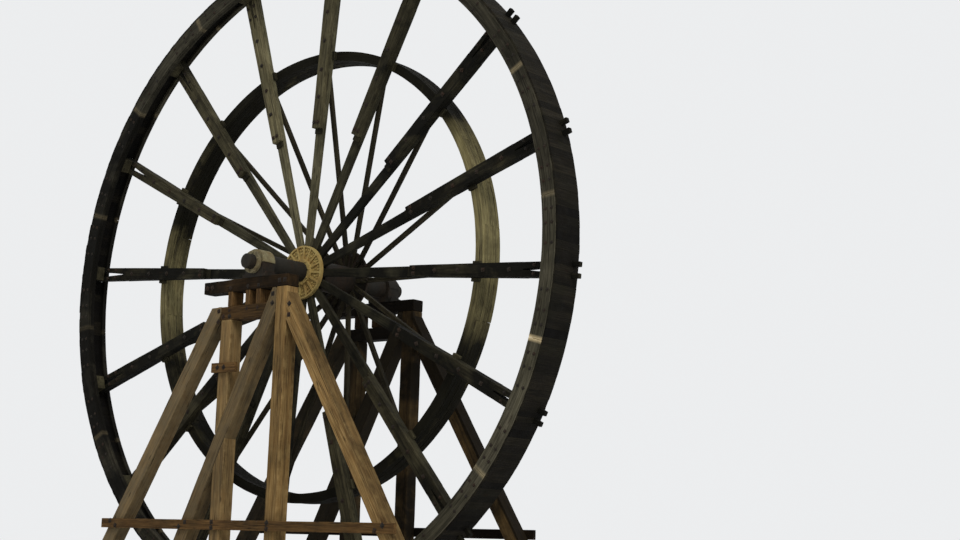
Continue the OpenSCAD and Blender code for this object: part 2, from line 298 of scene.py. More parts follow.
def timber(bag, place, length, width, depth, step=0.25, across=3, chamfer=0.008, rough=0.003, **looks):
    """A squared timber with worn edges. Its ends may follow its width, or its width its length."""
    u0, u1 = length
    v0, v1 = width
    w0, w1 = depth
    seed = bag.draw(0, 99)
    reach = value_at(u1, 0.0) - value_at(u0, 0.0)
    breadth = abs(value_at(v1, u1) - value_at(v0, u0))
    n, ring = section(EDGE_STRIP / max(breadth, NARROWEST), across)
    stations = max(2, int(round(reach / step)))
    cut = chamfer / reach
    t = np.concatenate([[0, cut], np.linspace(0, 1, stations + 1)[1:-1], [1 - cut, 1]])
    rows, cols = len(t), len(ring["edge"])
    ends = np.zeros(rows)
    ends[[0, -1]] = 1
    t, ends = np.repeat(t, cols), np.repeat(ends, cols)
    ring = {key: np.tile(value, rows) for key, value in ring.items()}
    if callable(u0) or callable(u1):
        v = v0 + ring["width"] * (v1 - v0)
        low, high = value_at(u0, v), value_at(u1, v)
        u = low + t * (high - low)
        middle = (v0 + v1) / 2
    else:
        u = u0 + t * (u1 - u0)
        low, high = value_at(v0, u), value_at(v1, u)
        v = low + ring["width"] * (high - low)
        middle = (low + high) / 2
    w = w0 + ring["depth"] * (w1 - w0)
    waves = noise(u * WAVES, np.tile(np.arange(cols) * WAVE_STEP, rows), seed)
    chips = np.clip(noise(u * CHIPS_ALONG, ring["width"] * CHIPS_ACROSS, seed + 5) - CHIP_LEVEL, 0, 1)
    worn = rough * (waves + ring["edge"] * CHIP_DEPTH * chips)
    v = v + ring["inset_width"] * chamfer + ring["inward_width"] * worn
    w = w + ring["inset_depth"] * chamfer + ring["inward_depth"] * worn
    v = v + np.sign(middle - v) * ends * chamfer * END_DRAW
    w = w + np.sign((w0 + w1) / 2 - w) * ends * chamfer * END_DRAW
    faces = tube_faces(rows, cols) + end_faces(0, n) + end_faces((rows - 1) * cols, n)
    spread = {key: value_at(value, u, v, w) for key, value in looks.items()}
    bag.add(place(u, v, w), faces, np.stack([u, v, w], -1), edge=np.maximum(ring["edge"], ends), **spread)


def prism(bag, place, sides, r, w0, w1, turn, bevel=0.15, **looks):
    """A nut, washer or bolt end standing along the depth of a place."""
    a = np.arange(sides) * 2 * math.pi / sides + turn
    rings = [(r, w0), (r, w1 - bevel * (w1 - w0)), (r * (1 - bevel), w1)]
    u = np.concatenate([k[0] * np.cos(a) for k in rings])
    v = np.concatenate([k[0] * np.sin(a) for k in rings])
    w = np.concatenate([np.full(sides, k[1]) for k in rings])
    faces = tube_faces(len(rings), sides)
    faces.append(list(range(sides)))
    faces.append([2 * sides + j for j in range(sides)])
    bag.add(place(u, v, w), faces, np.stack([u, v, w], -1), **looks)


# Parts of a bolt: the washer in metres, the rest as shares of the bolt's size
WASHER_SUNK = 0.004
WASHER_T = 0.008
WASHER_R = 1.3
NUT_R = 0.75
NUT_TOP = 0.6
END_R = 0.32
END_TOP = 0.8
# How far a bolt's foot lies under the face that it stands on
SUNK = 0.002
# Directions well away from a level bolt's and from an upright one's
OFF_LEVEL = (0.37, 0.11, 0.92)
OFF_UPRIGHT = (1, 0, 0)
UPRIGHT_FROM = 0.9


def bolt(bag, origin, depth, size=0.05, plate=0.055):
    """A square washer, a nut and the end of its bolt, standing on a face."""
    depth = np.array(depth, float)
    side = np.cross(depth, OFF_LEVEL if abs(depth[2]) < UPRIGHT_FROM else OFF_UPRIGHT)
    side /= np.linalg.norm(side)
    place = straight(origin, side, np.cross(depth, side), depth)
    turn = bag.draw(0, 6.28)
    tone = bag.draw(0.3, 0.8)
    nut_top = WASHER_T + size * NUT_TOP
    prism(bag, place, 4, plate * WASHER_R, -WASHER_SUNK, WASHER_T, turn + 0.4, tone=tone)
    prism(bag, place, 6, size * NUT_R, WASHER_T, nut_top, turn, 0.2, tone=tone)
    prism(bag, place, 10, size * END_R, nut_top, WASHER_T + size * END_TOP, turn, 0.3, tone=tone)


# Material nodes

def ramp(tree, source, stops):
    """Grey ramp; each stop is a place on it and the value there."""
    node = tree.nodes.new("ShaderNodeValToRGB")
    while len(node.color_ramp.elements) < len(stops):
        node.color_ramp.elements.new(0.5)
    for element, (where, value) in zip(node.color_ramp.elements, stops):
        element.position = where
        element.color = (value, value, value, 1)
    tree.links.new(source, node.inputs[0])
    return node.outputs[0]


def feed(tree, sockets, values):
    """Sets each socket to a plain value, or links it to another node's output."""
    for socket, value in zip(sockets, values):
        if isinstance(value, (int, float, tuple)):
            socket.default_value = value
        else:
            tree.links.new(value, socket)


def math_node(tree, operation, *values):
    node = tree.nodes.new("ShaderNodeMath")
    node.operation = operation
    feed(tree, node.inputs, values)
    return node.outputs[0]


def stretched(tree, source, scale):
    node = tree.nodes.new("ShaderNodeVectorMath")
    node.operation = "MULTIPLY"
    feed(tree, node.inputs, (source, scale))
    return node.outputs[0]


def noise_node(tree, vector, scale=1, detail=4, roughness=0.6, distortion=0.0):
    node = tree.nodes.new("ShaderNodeTexNoise")
    node.inputs["Scale"].default_value = scale
    node.inputs["Detail"].default_value = detail
    node.inputs["Roughness"].default_value = roughness
    node.inputs["Distortion"].default_value = distortion
    tree.links.new(vector, node.inputs["Vector"])
    return node.outputs["Fac"]


def cell_node(tree, vector, scale=1.0):
    """Distance from the middles of scattered cells."""
    node = tree.nodes.new("ShaderNodeTexVoronoi")
    node.inputs["Scale"].default_value = scale
    tree.links.new(vector, node.inputs["Vector"])
    return node.outputs["Distance"]


def mix_colour(tree, factor, a, b, blend="MIX"):
    node = tree.nodes.new("ShaderNodeMix")
    node.data_type = "RGBA"
    node.blend_type = blend
    feed(tree, (node.inputs[0], node.inputs[6], node.inputs[7]), (factor, a, b))
    return node.outputs[2]


def attribute(tree, name, output="Fac"):
    node = tree.nodes.new("ShaderNodeAttribute")
    node.attribute_name = name
    return node.outputs[output]


def bump(tree, surface, height, strength, distance):
    node = tree.nodes.new("ShaderNodeBump")
    node.inputs["Strength"].default_value = strength
    node.inputs["Distance"].default_value = distance
    tree.links.new(height, node.inputs["Height"])
    tree.links.new(node.outputs[0], surface.inputs["Normal"])


def linear(k):
    """Linear value of an 8-bit sRGB one."""
    return ((k / 255 + 0.055) / 1.055) ** 2.4 if k > 10 else k / 255 / 12.92


def colour(rgb):
    return tuple(linear(k) for k in rgb) + (1.0,)


def new_material(name):
    material = bpy.data.materials.new(name)
    material.use_nodes = True
    tree = material.node_tree
    return material, tree, tree.nodes["Principled BSDF"]


# Wood. Scales of its patterns are along, across and through the grain
FIBRE_SCALE = (1.6, 55, 55)
STREAK_SCALE = (0.45, 8, 8)
CHECK_SCALE = (0.7, 26, 26)
KNOT_SCALE = (1.1, 5, 5)
# Ramps turn a pattern into the strength of a layer
STREAKS = [(0.34, 0), (0.66, 1)]
PALE_FIBRES = [(0.45, 0), (0.75, 0.8)]
DARK_FIBRES = [(0.28, 0.7), (0.42, 0)]
WORN_PATCHES = [(0.42, 0), (0.62, 0.5)]
MOSS_PATCHES = [(0.5, 0), (0.72, 1)]
STAIN_PATCHES = [(0.35, 0), (0.65, 1)]
FRESH_PATCHES = [(0.3, 0.5), (0.6, 1)]
KNOT_CORES = [(0.06, 1), (0.13, 0)]
CRACK_LINES = [(0.30, 1), (0.36, 0)]
WOOD_ROUGH = [(0.3, 0.72), (0.7, 0.95)]
# A timber's tone multiplies its colour, and blotches add to its stain and painted shade or take from it
TONE_GAIN = 0.75
TONE_BASE = 0.62
BLOTCH_GAIN = 0.34
BLOTCH_BASE = -0.14
MOST_STAIN_AND_SHADE = 0.97
MOSS = (74, 76, 52)
KNOT = (30, 23, 16)
CRACK = (20, 15, 10)


def wood(name, pale, mid, dark, stain_and_shade_colour, fresh=(206, 186, 144), moss=0.15, crack=0.75):
    """Weathered timber: fibre and checks along the grain, stains with painted shade, and paler worn edges."""
    material, tree, surface = new_material(name)
    grain = attribute(tree, "grain", "Vector")
    place = tree.nodes.new("ShaderNodeTexCoord").outputs["Object"]
    fibre = noise_node(tree, stretched(tree, grain, FIBRE_SCALE), detail=5, roughness=0.65)
    streak = noise_node(tree, stretched(tree, grain, STREAK_SCALE), distortion=0.4)
    check = noise_node(tree, stretched(tree, grain, CHECK_SCALE), detail=3, roughness=0.5, distortion=0.6)
    blotch = noise_node(tree, place, scale=0.9, detail=5, roughness=0.62, distortion=0.5)
    cloud = noise_node(tree, place, scale=4.5)
    knots = ramp(tree, cell_node(tree, stretched(tree, grain, KNOT_SCALE)), KNOT_CORES)
    cracks = ramp(tree, check, CRACK_LINES)

    def times(a, b):
        return math_node(tree, "MULTIPLY", a, b)

    def lay(body, strength, rgb):
        return mix_colour(tree, strength, body, colour(rgb))

    body = mix_colour(tree, ramp(tree, streak, STREAKS), colour(dark), colour(mid))
    body = lay(body, ramp(tree, fibre, PALE_FIBRES), pale)
    body = lay(body, ramp(tree, fibre, DARK_FIBRES), dark)
    grey = tree.nodes.new("ShaderNodeCombineColor")
    lift = math_node(tree, "MULTIPLY_ADD", attribute(tree, "tone"), TONE_GAIN, TONE_BASE)
    feed(tree, grey.inputs, (lift, lift, lift))
    body = mix_colour(tree, 1.0, body, grey.outputs[0], "MULTIPLY")
    body = lay(body, times(attribute(tree, "edge"), ramp(tree, cloud, WORN_PATCHES)), pale)
    body = lay(body, times(ramp(tree, blotch, MOSS_PATCHES), moss), MOSS)
    blotches = math_node(tree, "MULTIPLY_ADD", ramp(tree, blotch, STAIN_PATCHES), BLOTCH_GAIN, BLOTCH_BASE)
    stain = math_node(tree, "ADD", attribute(tree, "stain"), blotches)
    stain = math_node(tree, "MINIMUM", math_node(tree, "MAXIMUM", stain, 0), MOST_STAIN_AND_SHADE)
    # Stain and painted shade darken the wood toward one colour
    body = lay(body, stain, stain_and_shade_colour)
    body = lay(body, times(attribute(tree, "fresh"), ramp(tree, cloud, FRESH_PATCHES)), fresh)
    body = lay(body, times(knots, 0.7), KNOT)
    body = lay(body, times(cracks, crack), CRACK)
    tree.links.new(body, surface.inputs["Base Color"])
    tree.links.new(ramp(tree, cloud, WOOD_ROUGH), surface.inputs["Roughness"])
    surface.inputs["Specular IOR Level"].default_value = 0.08
    height = math_node(tree, "SUBTRACT", times(fibre, 0.5), times(cracks, 0.8))
    bump(tree, surface, height, strength=0.7, distance=0.006)
    return material


# Iron
RUN_SCALE = (9, 9, 1.1)
RUST_RUNS = [(0.5, 0), (0.72, 0.65)]
DARK_GRIT = [(0.4, 0.35), (0.62, 0)]
SMOOTHEST = 0.75
ROUGHEST = 0.95


def iron(name, clean, rust, dark, spread):
    """Weathered casting: mill skin, rust in patches and runs, a pitted surface."""
    material, tree, surface = new_material(name)
    place = tree.nodes.new("ShaderNodeTexCoord").outputs["Object"]
    patch = noise_node(tree, place, scale=2.2, detail=6, roughness=0.65, distortion=0.4)
    grit = noise_node(tree, place, scale=38, roughness=0.7)
    run = noise_node(tree, stretched(tree, place, RUN_SCALE), distortion=0.3)
    rust_patches = [(0.62 - 0.3 * spread, 0), (0.78 - 0.3 * spread, 1)]
    body = mix_colour(tree, ramp(tree, patch, rust_patches), colour(clean), colour(rust))
    body = mix_colour(tree, ramp(tree, run, RUST_RUNS), body, colour(dark))
    body = mix_colour(tree, ramp(tree, grit, DARK_GRIT), body, colour(dark))
    tree.links.new(body, surface.inputs["Base Color"])
    tree.links.new(ramp(tree, patch, [(0.35, SMOOTHEST), (0.7, ROUGHEST)]), surface.inputs["Roughness"])
    surface.inputs["Metallic"].default_value = 0.15
    surface.inputs["Specular IOR Level"].default_value = 0.35
    height = math_node(tree, "ADD", math_node(tree, "MULTIPLY", grit, 0.8), cell_node(tree, place, 60))
    bump(tree, surface, height, strength=0.5, distance=0.003)
    return material


# Colours in 8-bit sRGB: pale, middle and dark fibre and the colour of stain and painted shade of a wood;
# skin, rust and dark of an iron
ARM_WOOD = wood("arm_timber", (134, 129, 100), (94, 89, 66), (48, 44, 32), (9, 9, 7))
CHEEK_WOOD = wood("cheek_timber", (136, 129, 98), (96, 89, 64), (50, 45, 32), (9, 9, 7))
FELLOE_WOOD = wood("felloe_timber", (122, 116, 98), (82, 78, 62), (42, 40, 31), (9, 8, 6))
# The sole boards' dark colours are painted shade of the rim's inside
SOLE_WOOD = wood("sole_boards", (60, 55, 42), (36, 32, 24), (18, 16, 11), (7, 6, 5), moss=0.2)
RING_WOOD = wood("ring_timber", (154, 146, 104), (120, 110, 74), (66, 58, 40), (9, 9, 6))
BRACE_WOOD = wood("brace_timber", (92, 86, 64), (58, 52, 38), (32, 28, 20), (10, 9, 7))
TOWER_WOOD = wood("tower_timber", (166, 140, 92), (126, 98, 58), (74, 55, 32), (14, 12, 8),
                  fresh=(100, 92, 74), crack=0.85)
TIE_WOOD = wood("tie_timber", (128, 98, 60), (88, 64, 36), (50, 36, 20), (11, 9, 6))
SILL_WOOD = wood("sill_timber", (136, 118, 84), (96, 78, 52), (58, 46, 30), (30, 25, 17), moss=0.4)
PLATE_IRON = iron("hub_plate", (172, 152, 92), (158, 130, 74), (132, 108, 64), spread=0.5)
HUB_IRON = iron("hub_iron", (36, 32, 25), (48, 36, 25), (20, 17, 12), spread=0.7)
# Front collar paler than the rear one, as painted light
LIT_COLLAR_IRON = iron("collar_metal", (124, 116, 88), (108, 92, 62), (66, 57, 40), spread=0.4)
# Axle and rear collar darkened as painted shade
SHADED_AXLE_IRON = iron("axle_iron", (36, 33, 25), (44, 35, 24), (20, 17, 12), spread=0.5)
# Bearing blocks and the rear cap darkened as painted shade
SHADED_BEARING_IRON = iron("bearing_iron", (34, 30, 22), (46, 35, 23), (19, 16, 11), spread=0.5)
# Front cap paler as painted light on its top
LIT_CAP_IRON = iron("cap_iron_painted_light", (134, 126, 94), (116, 99, 64), (72, 61, 40), spread=0.4)
BOLT_IRON = iron("bolt_iron", (38, 33, 26), (54, 38, 26), (22, 18, 13), spread=0.6)


# Arms, each a shank and two prongs, and the cheek planks on their outer part

# Tone of the arms and how much each is darkened, from the first one round
ARM_LOOKS = [
    (0.35, 0.93), (0.30, 0.94), (0.35, 0.92), (0.45, 0.78), (0.50, 0.36), (0.60, 0.12),
    (0.45, 0.58), (0.45, 0.66), (0.32, 0.90), (0.32, 0.92), (0.40, 0.80), (0.42, 0.72),
    (0.40, 0.82), (0.42, 0.74), (0.40, 0.78), (0.35, 0.88)]
# Painted shadow of the rim adds this much stain toward the rim, up to a limit
RIM_SHADOW = 0.45
ARM_STAIN_AND_SHADOW_LIMIT = 0.95
ARM_SHADOW_START = 7.6
CHEEK_SHADOW_START = 7.8
CHEEK_PALER = 0.08
# The shank and the prongs overlap round the start of the fork, the prongs a little inside the shank's faces
SHANK_PAST = 0.12
PRONG_LAP = 0.1
PRONG_INSIDE = 0.003
# Small blocks beside an arm where it crosses the drive ring
RING_BLOCK = (5.80, 6.03)
RING_BLOCK_R = 5.9
RING_BLOCK_W = 0.09
RING_BLOCK_T = 0.1
# Block under the inner end of a cheek
CHEEK_FOOT_L = 0.14
CHEEK_FOOT_HALF = 0.12
CHEEK_FOOT_T = 0.05
# Radii of a cheek's bolts: one pair side by side, a row, and a pair on each prong
PAIR_R = 4.05
PAIR_HALF = 0.07
ROW_R = (4.75, 5.5, 6.3, 7.1)
PRONG_R = (7.85, 8.2)


def arm_half(r):
    return (ARM_HUB_W + (ARM_TIP_W - ARM_HUB_W) * (r - ARM_START) / (ARM_END - ARM_START)) / 2


def fork_half(r):
    return FORK_HALF * np.clip((r - FORK_START) / (RIM_IN - FORK_START), 0, 1)


def arm_angle(i):
    return ARM_PHASE + (i - 1) * BAY


ARM_NUMBERS = range(1, ARM_COUNT + 1)
ARM_WIDTH = (lambda r: -arm_half(r), arm_half)
UNDER_SOLE = math.sqrt(FELLOE_OUT ** 2 - float(arm_half(FELLOE_OUT)) ** 2)


def arm_looks(i, start, paler=0.0):
    """Tone of an arm, and its stain, with the rim's painted shadow growing on it from a radius outward to the
    rim.
    """
    tone, stain = ARM_LOOKS[i - 1]
    in_rim_shadow = min(ARM_STAIN_AND_SHADOW_LIMIT, stain + RIM_SHADOW)

    def with_rim_shadow(u, v, w):
        return stain + (in_rim_shadow - stain) * np.clip((u - start) / (RIM_IN - start), 0, 1) ** 2

    return {"tone": tone + paler, "stain": with_rim_shadow}


def forked(bag, place, start, end, w0, w1, looks):
    """A shank and the two prongs that it forks into."""
    timber(bag, place, (start, FORK_START + SHANK_PAST), ARM_WIDTH, (w0, w1), across=4, **looks)
    prongs = ((lambda u: PRONG_INSIDE - arm_half(u), lambda u: -fork_half(u)),
              (fork_half, lambda u: arm_half(u) - PRONG_INSIDE))
    for width in prongs:
        timber(bag, place, (FORK_START - PRONG_LAP, end), width, (w0 + PRONG_INSIDE, w1 - PRONG_INSIDE),
               across=2, **looks)


def make_arms():
    for i in ARM_NUMBERS:
        arm = Bag(f"arm_{i:02d}_timber", 20 + i)
        forked(arm, on_arm(arm_angle(i)), ARM_START, ARM_END, ARM_BACK, ARM_FRONT,
               arm_looks(i, ARM_SHADOW_START))
        arm.build("wheel", ARM_WOOD, [f"arm_{i:02d}"])


def make_cheeks():
    cheeks = Bag("cheek_planks", 11)
    for i in ARM_NUMBERS:
        forked(cheeks, on_arm(arm_angle(i)), CHEEK_START, UNDER_SOLE, ARM_FRONT, CHEEK_FRONT,
               arm_looks(i, CHEEK_SHADOW_START, CHEEK_PALER))
    cheeks.build("wheel", CHEEK_WOOD, ["arm_cheeks"])


def make_packing():
    """Packing between cheeks and front felloes, and the small blocks on each arm."""
    blocks = Bag("rim_packing", 12)
    for i in ARM_NUMBERS:
        place = on_arm(arm_angle(i))
        # The packing's high stain is painted shade, as it lies in the rim's shadow
        timber(blocks, place, (RIM_IN, UNDER_SOLE), ARM_WIDTH, (CHEEK_FRONT, FELLOE_BACK),
               step=0.2, tone=0.4, stain=0.7)
        for hand in (-1, 1):
            edge = hand * float(arm_half(RING_BLOCK_R))
            timber(blocks, place, RING_BLOCK, sorted((edge, edge + hand * RING_BLOCK_W)),
                   (ARM_BACK, ARM_BACK + RING_BLOCK_T), step=0.12, across=2, tone=0.3, stain=0.7)
        timber(blocks, place, (CHEEK_START - CHEEK_FOOT_L, CHEEK_START), (-CHEEK_FOOT_HALF, CHEEK_FOOT_HALF),
               (ARM_FRONT, ARM_FRONT + CHEEK_FOOT_T), step=0.1, across=2, tone=0.3, stain=0.75)
    blocks.build("wheel", CHEEK_WOOD, ["rim_blocks"])


def make_arm_bolts():
    bolts = Bag("arm_bolts", 13)
    on_shank = [(PAIR_R, -PAIR_HALF), (PAIR_R, PAIR_HALF)] + [(r, 0.0) for r in ROW_R]
    for i in ARM_NUMBERS:
        place = on_arm(arm_angle(i))
        for r, across in on_shank:
            bolt(bolts, point(place, r, across, CHEEK_FRONT), FORWARD)
        for r in PRONG_R:
            for hand in (-1, 1):
                across = hand * float(arm_half(r) + fork_half(r)) / 2
                bolt(bolts, point(place, r, across, CHEEK_FRONT), FORWARD, size=0.045, plate=0.045)
    bolts.build("wheel", BOLT_IRON)


# Rim: front and rear felloe lengths and the cross boards of the sole

# Pale wood at the joint before each arm, strongest under the first one, and how far it reaches
JOINT_PALE = (1.0, 0.15, 0.3, 0.1, 0.25, 0.1, 0.2, 0.15, 0.1, 0.05, 0.1, 0.15, 0.2, 0.1, 0.2, 0.3)
PALE_AT_JOINT = 1.4
PALE_REACH = 0.06
LAYER_GAP = 0.001
# Bolts of a felloe length: places as shares of a bay from the arm, and the distance from either edge
FELLOE_BOLTS = (-0.40, -0.30, -0.16, 0.16, 0.30, 0.40)
FELLOE_BOLT_IN = 0.11
# Sole boards between two arms, the gap beside a notched board, and the gap of the others, which lap
BAY_BOARDS = 15
NOTCHED_GAP = 0.001
BOARD_LAP = -0.0015


def layered(low, high, count):
    """Faces of equal layers side by side."""
    return [(low + (high - low) * k / count, low + (high - low) * (k + 1) / count) for k in range(count)]


def peak(angle, middle, power):
    """1 at an angle in degrees, falling off to both sides."""
    return max(0.0, math.cos(angle - math.radians(middle))) ** power


def felloe_stain_and_shade(angle):
    """Stain and painted light and shade of the felloes: painted shade on the left and at the upper right,
    greyer with painted light at the upper left.
    """
    stain = 0.46 - 0.1 * math.cos(angle)
    return stain + 0.2 * peak(angle, 38, 6) + 0.45 * peak(angle, 175, 1) - 0.2 * peak(angle, 136, 30)


def sole_stain_and_shade(angle):
    """Stain and painted shade of the sole boards: painted shade darkest on the left, less at the upper right.
    """
    return 0.76 - 0.14 * math.cos(angle) - 0.3 * peak(angle, 42, 8)


def joint_pale(i, reach):
    """Pale wood at both ends of a felloe length."""
    before, after = JOINT_PALE[i - 1], JOINT_PALE[i % ARM_COUNT]

    def pale(u, v, w):
        at_start = np.clip(PALE_AT_JOINT - u / PALE_REACH, 0, 1)
        at_end = np.clip(PALE_AT_JOINT - (reach - u) / PALE_REACH, 0, 1)
        return before * at_start + after * at_end

    return pale


def make_felloes():
    """Two rings of lengths with open joints; the front one has two layers."""
    front = Bag("front_felloe_lengths", 31)
    rear = Bag("rear_felloe_lengths", 32)
    rings = ((front, RIM_IN, layered(FELLOE_BACK, RIM_FRONT, 2)),
             (rear, REAR_FELLOE_IN, layered(RIM_BACK, ARM_BACK, 1)))
    for i in ARM_NUMBERS:
        angle = arm_angle(i)
        for bag, r_in, layers in rings:
            reach = BAY * r_in
            for w0, w1 in layers:
                tone = bag.draw(0.4, 0.65)
                stain = felloe_stain_and_shade(angle) + bag.draw(-0.1, 0.1)
                timber(bag, along_rim(angle - BAY / 2, r_in), (JOINT_HALF, reach - JOINT_HALF),
                       (r_in, FELLOE_OUT), (w0 + LAYER_GAP, w1), step=0.09, across=4, chamfer=0.007,
                       tone=tone, stain=stain, fresh=joint_pale(i, reach))
    front.build("wheel", FELLOE_WOOD, ["front_felloes"])
    rear.build("wheel", FELLOE_WOOD, ["rear_felloes"])


def make_sole():
    """Notched boards at the two prongs, a tongue between them, and equal boards over the rest of the bay."""
    sole = Bag("sole_cross_boards", 33)
    half = float(arm_half(FELLOE_OUT)) + NOTCH_GAP
    tongue = FORK_HALF - NOTCH_GAP
    rest = BAY * RIM_R - 2 * half
    boards = [(-half, -tongue, True), (-tongue, tongue, False), (tongue, half, True)]
    boards += [(half + low, half + high, False) for low, high in layered(0, rest, BAY_BOARDS)]
    whole = [(RIM_BACK, RIM_FRONT)]
    cut = [(RIM_BACK, ARM_BACK - NOTCH_GAP), (ARM_FRONT + NOTCH_GAP, RIM_FRONT)]
    for i in ARM_NUMBERS:
        for low, high, notched in boards:
            board_half = (high - low) / 2 - (NOTCHED_GAP if notched else BOARD_LAP) / 2
            angle = arm_angle(i) + (low + high) / 2 / RIM_R
            for back, front in (cut if notched else whole):
                worn = sole.draw(0, 0.02) * (front - back)
                drop = sole.draw(0, 0.006)
                tone = sole.draw(0.2, 0.85)
                stain = float(np.clip(sole.rng.normal(sole_stain_and_shade(angle), 0.13), 0.1, 0.95))
                timber(sole, across_rim(angle, RIM_R), (back + worn * 0.5, front - worn),
                       (-board_half, board_half), (FELLOE_OUT, RIM_R - drop), step=0.22, across=2,
                       chamfer=0.003, rough=0.0008, tone=tone, stain=stain)
    sole.build("wheel", SOLE_WOOD, ["rim_sole"])


def make_rim_bolts():
    bolts = Bag("rim_bolts", 34)
    for i in ARM_NUMBERS:
        for offset in FELLOE_BOLTS:
            for r in (RIM_IN + FELLOE_BOLT_IN, FELLOE_OUT - FELLOE_BOLT_IN):
                at = point(polar, r, arm_angle(i) + offset * BAY, RIM_FRONT - SUNK)
                bolt(bolts, at, FORWARD, size=0.032, plate=0.04)
    bolts.build("wheel", BOLT_IRON)


# Drive ring and rear braces

RING_LAYERS = 6
RING_LAYER_GAP = 0.002
# Middle and reach of the ring's stretches paled by painted light, in degrees
RING_LIT_RIGHT = (9, 31)
RING_LIT_LEFT = (181, 30)
RING_LEFT_SHADE = 0.3
# Bolts of a brace, from its foot and back from its head, and how far they are sunk
BRACE_FOOT_BOLTS = (0.35, 0.62)
BRACE_HEAD_BOLTS = (0.12, 0.4)
BRACE_SUNK = 0.001


def ring_painted_light_and_shade(angle):
    """Painted light and shade of the drive ring: pale with painted light on the right, less so on the left,
    and dark with painted shade over the rest.
    """
    (right, right_reach), (left, left_reach) = np.radians(RING_LIT_RIGHT), np.radians(RING_LIT_LEFT)
    from_right = np.abs(np.remainder(angle - right + math.pi, 2 * math.pi) - math.pi) / right_reach
    from_left = np.abs(angle % (2 * math.pi) - left) / left_reach
    return np.clip(from_right, 0, 1) ** 2.5 * np.clip(RING_LEFT_SHADE + from_left, 0, 1) ** 2


def make_drive_ring():
    """Layers side by side along the axle, each a row of curved lengths, every other one half a bay on."""
    ring = Bag("drive_ring_layers", 41)
    for i in ARM_NUMBERS:
        for layer, (w0, w1) in enumerate(layered(RING_BACK, ARM_BACK, RING_LAYERS)):
            shift = ring.draw(-0.06, 0.1)
            begin = arm_angle(i) - BAY / 2 + (BAY / 2 if layer % 2 else 0)
            inside = RING_IN + ring.draw(0, 0.008)
            outside = RING_R - ring.draw(0, 0.01)
            tone = ring.draw(0.35, 0.8)

            def stain(u, v, w, begin=begin, shift=shift):
                return ring_painted_light_and_shade(begin + u / RING_IN) + shift

            timber(ring, along_rim(begin, RING_IN), (JOINT_HALF, BAY * RING_IN - JOINT_HALF),
                   (inside, outside), (w0 + RING_LAYER_GAP, w1), step=0.09, across=3, chamfer=0.006,
                   tone=tone, stain=stain)
    ring.build("wheel", RING_WOOD, ["drive_ring"])


def make_braces():
    """A cone of braces from behind the hub out to the arms, cut square to the axle at both ends."""
    braces = Bag("brace_timbers", 51)
    bolts = Bag("brace_bolts", 52)
    run = BRACE_HEAD - BRACE_FOOT
    slope = BRACE_T / BARREL_L
    face = slope * (math.hypot(run, math.sqrt(BARREL_L ** 2 - BRACE_T ** 2)) - slope * run) / (1 - slope ** 2)
    reach = run - face
    length = math.hypot(reach, BARREL_L)
    outward, onward = reach / length, BARREL_L / length
    # An end's place along the brace follows its depth
    bend = outward / onward
    forward = np.array(FORWARD)
    for i in ARM_NUMBERS:
        angle = arm_angle(i)
        out = np.array([math.cos(angle), 0, math.sin(angle)])
        across = np.array([-math.sin(angle), 0, math.cos(angle)])
        along = out * outward + forward * onward
        depth = out * onward - forward * outward
        foot = np.array([0, 0, HUB_Z]) + out * BRACE_FOOT + forward * BARREL_BACK
        tone = braces.draw(0.35, 0.6)
        stain = braces.draw(0.35, 0.6)
        timber(braces, straight(foot, along, depth, across),
               (lambda v: v * bend, lambda v: length + v * bend), (0, BRACE_T), (-BRACE_W / 2, BRACE_W / 2),
               across=2, tone=tone, stain=stain)
        for u in BRACE_FOOT_BOLTS + tuple(length - k for k in BRACE_HEAD_BOLTS):
            bolt(bolts, foot + along * u - depth * BRACE_SUNK, -depth, size=0.04, plate=0.04)
    braces.build("wheel", BRACE_WOOD, ["rear_braces"])
    bolts.build("wheel", BOLT_IRON)


# Bolts of the hub and the collars

# Front plate: shares of a bay from the arm, and radii
PLATE_BOLTS = ((-0.32, 0.60), (0.32, 0.60), (0.5, 0.50))
REAR_PLATE_BOLT_R = 0.62
BOSS_BOLTS = 8
BOSS_BOLT_R = 0.305
BOSS_BOLT_TURN = 0.2
COLLAR_BOLTS = 6
COLLAR_BOLT_R = 0.245
COLLAR_BOLT_TURN = 0.3


def make_hub_bolts():
    front = Bag("front_hub_bolts", 61)
    rear = Bag("rear_hub_bolts", 63)
    for i in ARM_NUMBERS:
        angle = arm_angle(i)
        for offset, r in PLATE_BOLTS:
            at = point(polar, r, angle + offset * BAY, ARM_FRONT + PLATE_T - SUNK)
            bolt(front, at, FORWARD, size=0.04, plate=0.032)
        at = point(polar, REAR_PLATE_BOLT_R, angle, ARM_BACK - PLATE_T + SUNK)
        bolt(rear, at, BACKWARD, size=0.04, plate=0.035)
    for k in range(BOSS_BOLTS):
        turn = k * 2 * math.pi / BOSS_BOLTS + BOSS_BOLT_TURN
        for bag, d, direction in ((front, ARM_FRONT + FRONT_BOSS - SUNK, FORWARD),
                                  (rear, BARREL_BACK - REAR_BOSS + SUNK, BACKWARD)):
            bolt(bag, point(polar, BOSS_BOLT_R, turn, d), direction, size=0.036, plate=0.028)
    front.build("wheel", PLATE_IRON)
    rear.build("wheel", HUB_IRON)


def make_collar_bolts():
    for side, name, material in ((-1, "front", LIT_COLLAR_IRON), (1, "rear", SHADED_AXLE_IRON)):
        collar = Bag(f"{name}_collar_bolts", 62 + side)
        for k in range(COLLAR_BOLTS):
            turn = k * 2 * math.pi / COLLAR_BOLTS + COLLAR_BOLT_TURN
            at = point(polar, COLLAR_BOLT_R, turn, -side * (COLLAR_OUT - SUNK))
            bolt(collar, at, (0, side, 0), size=0.04, plate=0.03)
        collar.build("wheel", material)


# Towers, each one bent; x counts from the middle of the bent, and side is -1 at the front and 1 at the rear

# Wear of the heavy timbers
HEAVY = {"across": 5, "chamfer": 0.014, "rough": 0.006}
